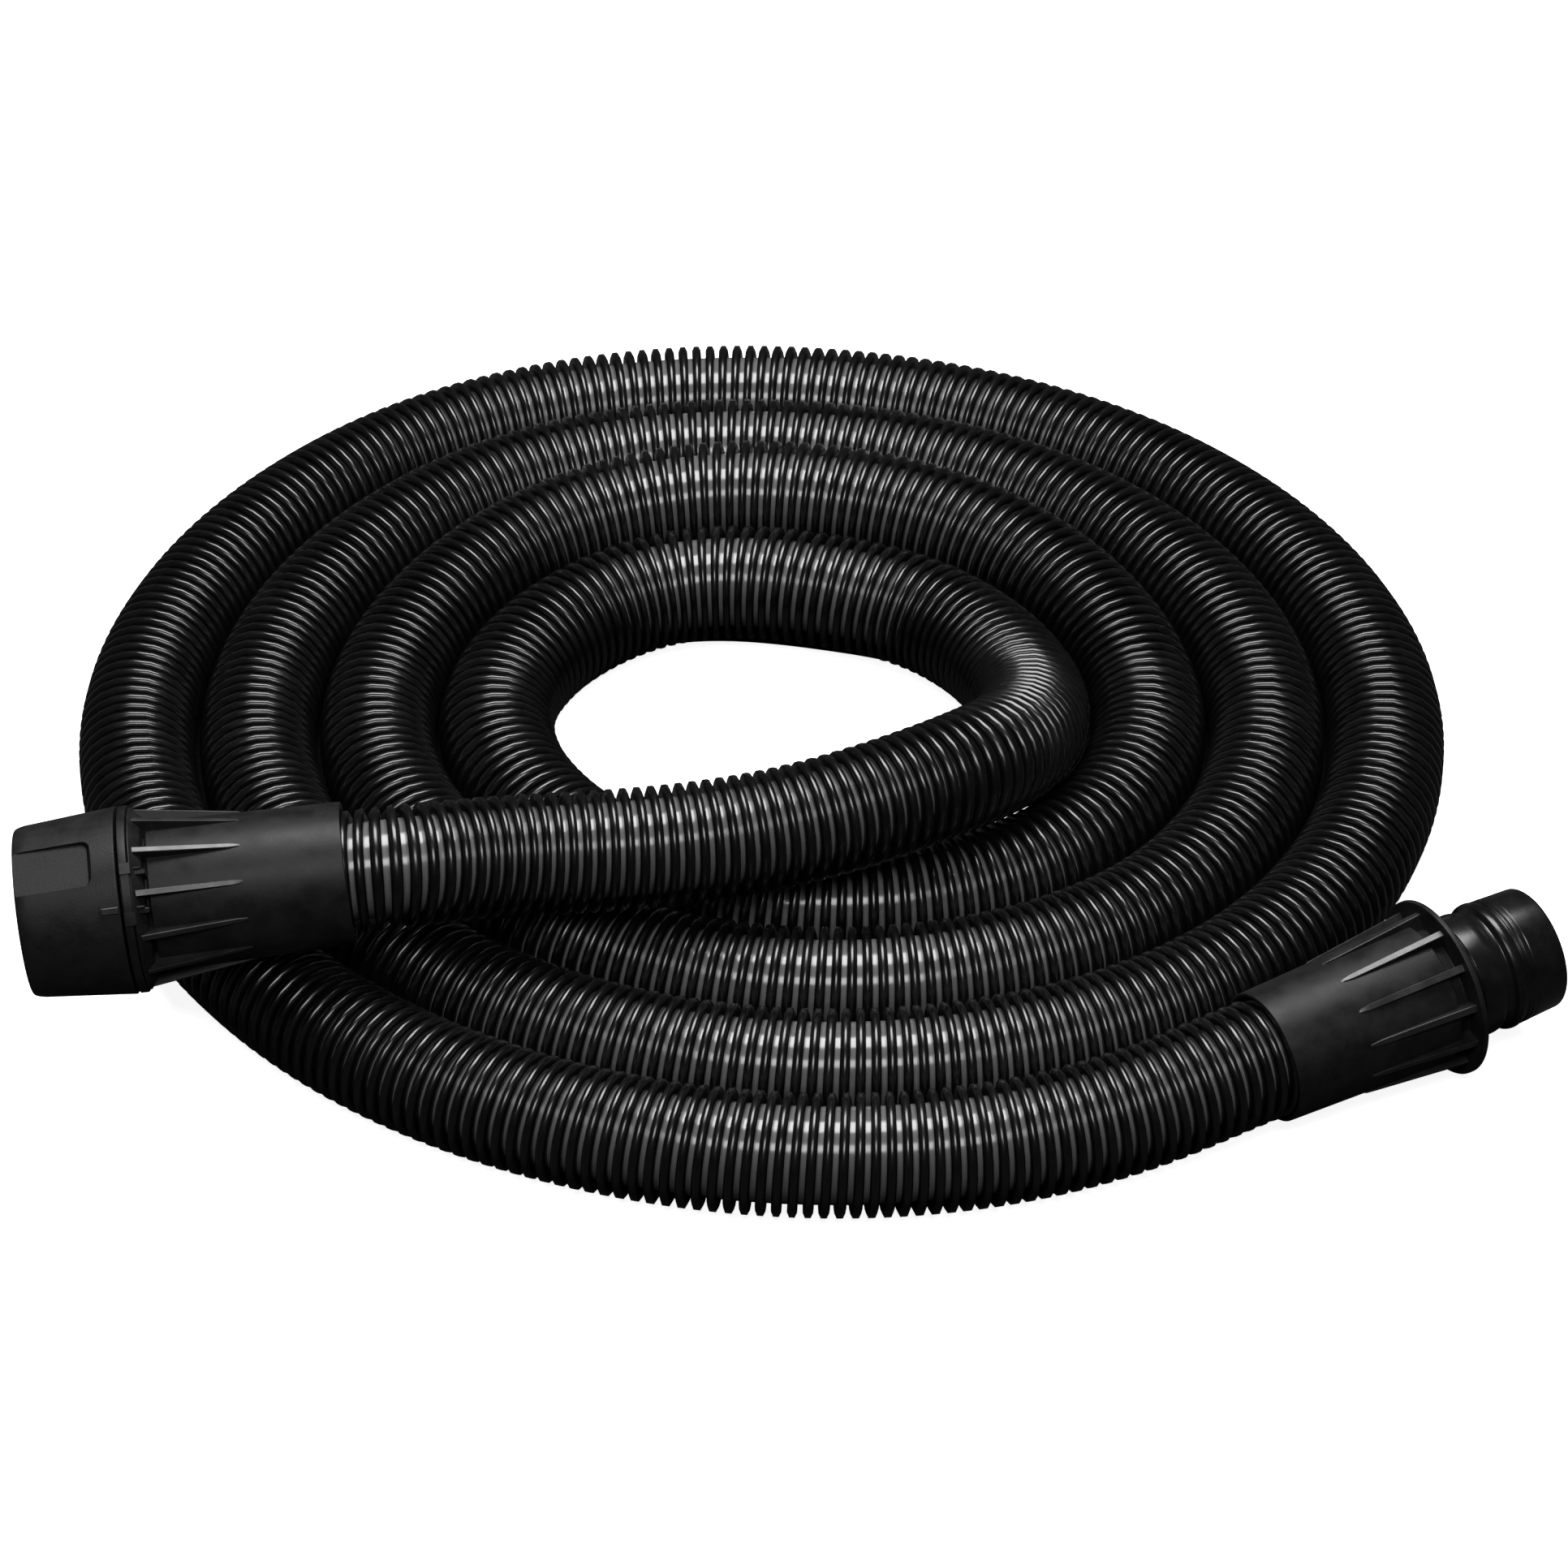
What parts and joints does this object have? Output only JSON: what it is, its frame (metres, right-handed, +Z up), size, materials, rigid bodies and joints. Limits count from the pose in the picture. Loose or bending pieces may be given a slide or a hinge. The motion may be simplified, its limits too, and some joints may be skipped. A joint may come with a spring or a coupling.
{
  "type": "vacuum hose",
  "caption": "Ribbed suction hose lying in a loose flat coil, with a swivelling collar on its vacuum end and a swivelling stepped spigot on its tool end.",
  "frame": {"origin": "on the floor, under the middle of the whole hose's outline", "axes": "+Z up from the floor the coil lies on, +X towards the tool end, +Y away from the front of the coil"},
  "size_m": [0.513, 0.4638, 0.0949],
  "materials": {
    "hose": "glossy helical ribs over a satin wall",
    "cuff": "fine satin moulding",
    "insert": "as moulded",
    "spigot": "semi-gloss, turned look",
    "collar": "matt moulding",
    "swivel_ring": "satin moulding",
    "seal": "matt rubber",
    "clip": "spring steel"
  },
  "bodies": {
    "hose": {"hose_coil": "hose", "hose_lead": "hose", "tool_cuff": "cuff", "tool_insert": "insert", "tool_retaining_clip": "clip", "vac_cuff": "cuff", "vac_insert": "insert", "vac_swivel_ring": "swivel_ring"},
    "tool_end": {"tool_spigot": "spigot", "tool_o_ring": "seal"},
    "vacuum_end": {"vac_collar": "collar", "vac_o_ring": "seal", "vac_lip_seal": "seal"}
  },
  "joints": [
    {"name": "tool_swivel", "type": "hinge", "parent": "hose", "child": "tool_end", "pos_m": [0.21377, -0.13871, 0.03053], "axis": [0.8739, 0.4844, 0.0401], "continuous": true},
    {"name": "vacuum_swivel", "type": "hinge", "parent": "hose", "child": "vacuum_end", "pos_m": [-0.21823, -0.13421, 0.064], "axis": [-0.9924, -0.0868, -0.0872], "continuous": true}
  ]
}
